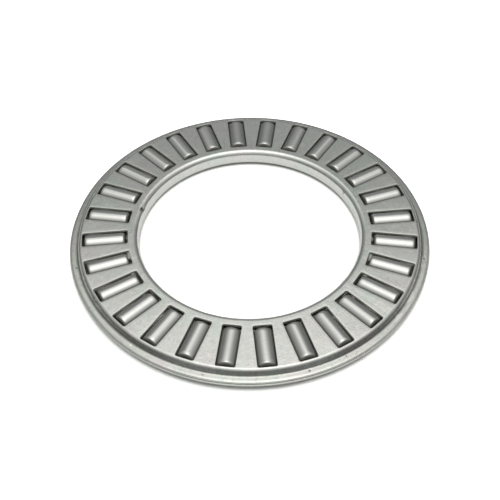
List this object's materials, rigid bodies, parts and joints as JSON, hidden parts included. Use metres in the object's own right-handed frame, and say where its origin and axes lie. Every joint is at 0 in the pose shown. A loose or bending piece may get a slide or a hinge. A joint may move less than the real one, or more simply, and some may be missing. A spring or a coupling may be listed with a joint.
{
  "type": "needle roller thrust bearing",
  "caption": "Flat two-piece pressed-steel cage carrying a ring of radially set cylindrical needle rollers, which take axial load between two raceways.",
  "frame": {"origin": "centre of the bearing, on the mid-plane of its cage", "axes": "+Z is the bearing's axis; +X runs outward along the axis of roller_01, and the rollers are numbered counter-clockwise seen from +Z"},
  "size_m": [0.0362, 0.0362, 0.002],
  "materials": {
    "cage_steel": "tumbled pressed sheet steel, satin, lightly oiled, speckled with fine dents",
    "roller_steel": "hardened bearing steel, ground and superfinished, bright"
  },
  "bodies": {
    "cage": {"upper_cage_half": "cage_steel", "lower_cage_half": "cage_steel"},
    "roller_01": {"roller_01": "roller_steel"},
    "roller_02": {"roller_02": "roller_steel"},
    "roller_03": {"roller_03": "roller_steel"},
    "roller_04": {"roller_04": "roller_steel"},
    "roller_05": {"roller_05": "roller_steel"},
    "roller_06": {"roller_06": "roller_steel"},
    "roller_07": {"roller_07": "roller_steel"},
    "roller_08": {"roller_08": "roller_steel"},
    "roller_09": {"roller_09": "roller_steel"},
    "roller_10": {"roller_10": "roller_steel"},
    "roller_11": {"roller_11": "roller_steel"},
    "roller_12": {"roller_12": "roller_steel"},
    "roller_13": {"roller_13": "roller_steel"},
    "roller_14": {"roller_14": "roller_steel"},
    "roller_15": {"roller_15": "roller_steel"},
    "roller_16": {"roller_16": "roller_steel"},
    "roller_17": {"roller_17": "roller_steel"},
    "roller_18": {"roller_18": "roller_steel"},
    "roller_19": {"roller_19": "roller_steel"},
    "roller_20": {"roller_20": "roller_steel"},
    "roller_21": {"roller_21": "roller_steel"},
    "roller_22": {"roller_22": "roller_steel"},
    "roller_23": {"roller_23": "roller_steel"},
    "roller_24": {"roller_24": "roller_steel"},
    "roller_25": {"roller_25": "roller_steel"},
    "roller_26": {"roller_26": "roller_steel"},
    "roller_27": {"roller_27": "roller_steel"},
    "roller_28": {"roller_28": "roller_steel"}
  },
  "joints": [
    {"name": "roller_01_spin", "type": "hinge", "parent": "cage", "child": "roller_01", "pos_m": [0.01457, 0, 0], "axis": [1, 0, 0], "continuous": true},
    {"name": "roller_02_spin", "type": "hinge", "parent": "cage", "child": "roller_02", "pos_m": [0.01421, 0.00324, 0], "axis": [0.9749, 0.2225, 0], "continuous": true},
    {"name": "roller_03_spin", "type": "hinge", "parent": "cage", "child": "roller_03", "pos_m": [0.01313, 0.00632, 0], "axis": [0.901, 0.4339, 0], "continuous": true},
    {"name": "roller_04_spin", "type": "hinge", "parent": "cage", "child": "roller_04", "pos_m": [0.0114, 0.00909, 0], "axis": [0.7818, 0.6235, 0], "continuous": true},
    {"name": "roller_05_spin", "type": "hinge", "parent": "cage", "child": "roller_05", "pos_m": [0.00909, 0.0114, 0], "axis": [0.6235, 0.7818, 0], "continuous": true},
    {"name": "roller_06_spin", "type": "hinge", "parent": "cage", "child": "roller_06", "pos_m": [0.00632, 0.01313, 0], "axis": [0.4339, 0.901, 0], "continuous": true},
    {"name": "roller_07_spin", "type": "hinge", "parent": "cage", "child": "roller_07", "pos_m": [0.00324, 0.01421, 0], "axis": [0.2225, 0.9749, 0], "continuous": true},
    {"name": "roller_08_spin", "type": "hinge", "parent": "cage", "child": "roller_08", "pos_m": [0, 0.01457, 0], "axis": [0, 1, 0], "continuous": true},
    {"name": "roller_09_spin", "type": "hinge", "parent": "cage", "child": "roller_09", "pos_m": [-0.00324, 0.01421, 0], "axis": [-0.2225, 0.9749, 0], "continuous": true},
    {"name": "roller_10_spin", "type": "hinge", "parent": "cage", "child": "roller_10", "pos_m": [-0.00632, 0.01313, 0], "axis": [-0.4339, 0.901, 0], "continuous": true},
    {"name": "roller_11_spin", "type": "hinge", "parent": "cage", "child": "roller_11", "pos_m": [-0.00909, 0.0114, 0], "axis": [-0.6235, 0.7818, 0], "continuous": true},
    {"name": "roller_12_spin", "type": "hinge", "parent": "cage", "child": "roller_12", "pos_m": [-0.0114, 0.00909, 0], "axis": [-0.7818, 0.6235, 0], "continuous": true},
    {"name": "roller_13_spin", "type": "hinge", "parent": "cage", "child": "roller_13", "pos_m": [-0.01313, 0.00632, 0], "axis": [-0.901, 0.4339, 0], "continuous": true},
    {"name": "roller_14_spin", "type": "hinge", "parent": "cage", "child": "roller_14", "pos_m": [-0.01421, 0.00324, 0], "axis": [-0.9749, 0.2225, 0], "continuous": true},
    {"name": "roller_15_spin", "type": "hinge", "parent": "cage", "child": "roller_15", "pos_m": [-0.01457, 0, 0], "axis": [-1, 0, 0], "continuous": true},
    {"name": "roller_16_spin", "type": "hinge", "parent": "cage", "child": "roller_16", "pos_m": [-0.01421, -0.00324, 0], "axis": [-0.9749, -0.2225, 0], "continuous": true},
    {"name": "roller_17_spin", "type": "hinge", "parent": "cage", "child": "roller_17", "pos_m": [-0.01313, -0.00632, 0], "axis": [-0.901, -0.4339, 0], "continuous": true},
    {"name": "roller_18_spin", "type": "hinge", "parent": "cage", "child": "roller_18", "pos_m": [-0.0114, -0.00909, 0], "axis": [-0.7818, -0.6235, 0], "continuous": true},
    {"name": "roller_19_spin", "type": "hinge", "parent": "cage", "child": "roller_19", "pos_m": [-0.00909, -0.0114, 0], "axis": [-0.6235, -0.7818, 0], "continuous": true},
    {"name": "roller_20_spin", "type": "hinge", "parent": "cage", "child": "roller_20", "pos_m": [-0.00632, -0.01313, 0], "axis": [-0.4339, -0.901, 0], "continuous": true},
    {"name": "roller_21_spin", "type": "hinge", "parent": "cage", "child": "roller_21", "pos_m": [-0.00324, -0.01421, 0], "axis": [-0.2225, -0.9749, 0], "continuous": true},
    {"name": "roller_22_spin", "type": "hinge", "parent": "cage", "child": "roller_22", "pos_m": [0, -0.01457, 0], "axis": [0, -1, 0], "continuous": true},
    {"name": "roller_23_spin", "type": "hinge", "parent": "cage", "child": "roller_23", "pos_m": [0.00324, -0.01421, 0], "axis": [0.2225, -0.9749, 0], "continuous": true},
    {"name": "roller_24_spin", "type": "hinge", "parent": "cage", "child": "roller_24", "pos_m": [0.00632, -0.01313, 0], "axis": [0.4339, -0.901, 0], "continuous": true},
    {"name": "roller_25_spin", "type": "hinge", "parent": "cage", "child": "roller_25", "pos_m": [0.00909, -0.0114, 0], "axis": [0.6235, -0.7818, 0], "continuous": true},
    {"name": "roller_26_spin", "type": "hinge", "parent": "cage", "child": "roller_26", "pos_m": [0.0114, -0.00909, 0], "axis": [0.7818, -0.6235, 0], "continuous": true},
    {"name": "roller_27_spin", "type": "hinge", "parent": "cage", "child": "roller_27", "pos_m": [0.01313, -0.00632, 0], "axis": [0.901, -0.4339, 0], "continuous": true},
    {"name": "roller_28_spin", "type": "hinge", "parent": "cage", "child": "roller_28", "pos_m": [0.01421, -0.00324, 0], "axis": [0.9749, -0.2225, 0], "continuous": true}
  ],
  "couplings": [
    {"joint": "roller_02_spin", "follows": "roller_01_spin", "ratio": 1},
    {"joint": "roller_03_spin", "follows": "roller_01_spin", "ratio": 1},
    {"joint": "roller_04_spin", "follows": "roller_01_spin", "ratio": 1},
    {"joint": "roller_05_spin", "follows": "roller_01_spin", "ratio": 1},
    {"joint": "roller_06_spin", "follows": "roller_01_spin", "ratio": 1},
    {"joint": "roller_07_spin", "follows": "roller_01_spin", "ratio": 1},
    {"joint": "roller_08_spin", "follows": "roller_01_spin", "ratio": 1},
    {"joint": "roller_09_spin", "follows": "roller_01_spin", "ratio": 1},
    {"joint": "roller_10_spin", "follows": "roller_01_spin", "ratio": 1},
    {"joint": "roller_11_spin", "follows": "roller_01_spin", "ratio": 1},
    {"joint": "roller_12_spin", "follows": "roller_01_spin", "ratio": 1},
    {"joint": "roller_13_spin", "follows": "roller_01_spin", "ratio": 1},
    {"joint": "roller_14_spin", "follows": "roller_01_spin", "ratio": 1},
    {"joint": "roller_15_spin", "follows": "roller_01_spin", "ratio": 1},
    {"joint": "roller_16_spin", "follows": "roller_01_spin", "ratio": 1},
    {"joint": "roller_17_spin", "follows": "roller_01_spin", "ratio": 1},
    {"joint": "roller_18_spin", "follows": "roller_01_spin", "ratio": 1},
    {"joint": "roller_19_spin", "follows": "roller_01_spin", "ratio": 1},
    {"joint": "roller_20_spin", "follows": "roller_01_spin", "ratio": 1},
    {"joint": "roller_21_spin", "follows": "roller_01_spin", "ratio": 1},
    {"joint": "roller_22_spin", "follows": "roller_01_spin", "ratio": 1},
    {"joint": "roller_23_spin", "follows": "roller_01_spin", "ratio": 1},
    {"joint": "roller_24_spin", "follows": "roller_01_spin", "ratio": 1},
    {"joint": "roller_25_spin", "follows": "roller_01_spin", "ratio": 1},
    {"joint": "roller_26_spin", "follows": "roller_01_spin", "ratio": 1},
    {"joint": "roller_27_spin", "follows": "roller_01_spin", "ratio": 1},
    {"joint": "roller_28_spin", "follows": "roller_01_spin", "ratio": 1}
  ]
}
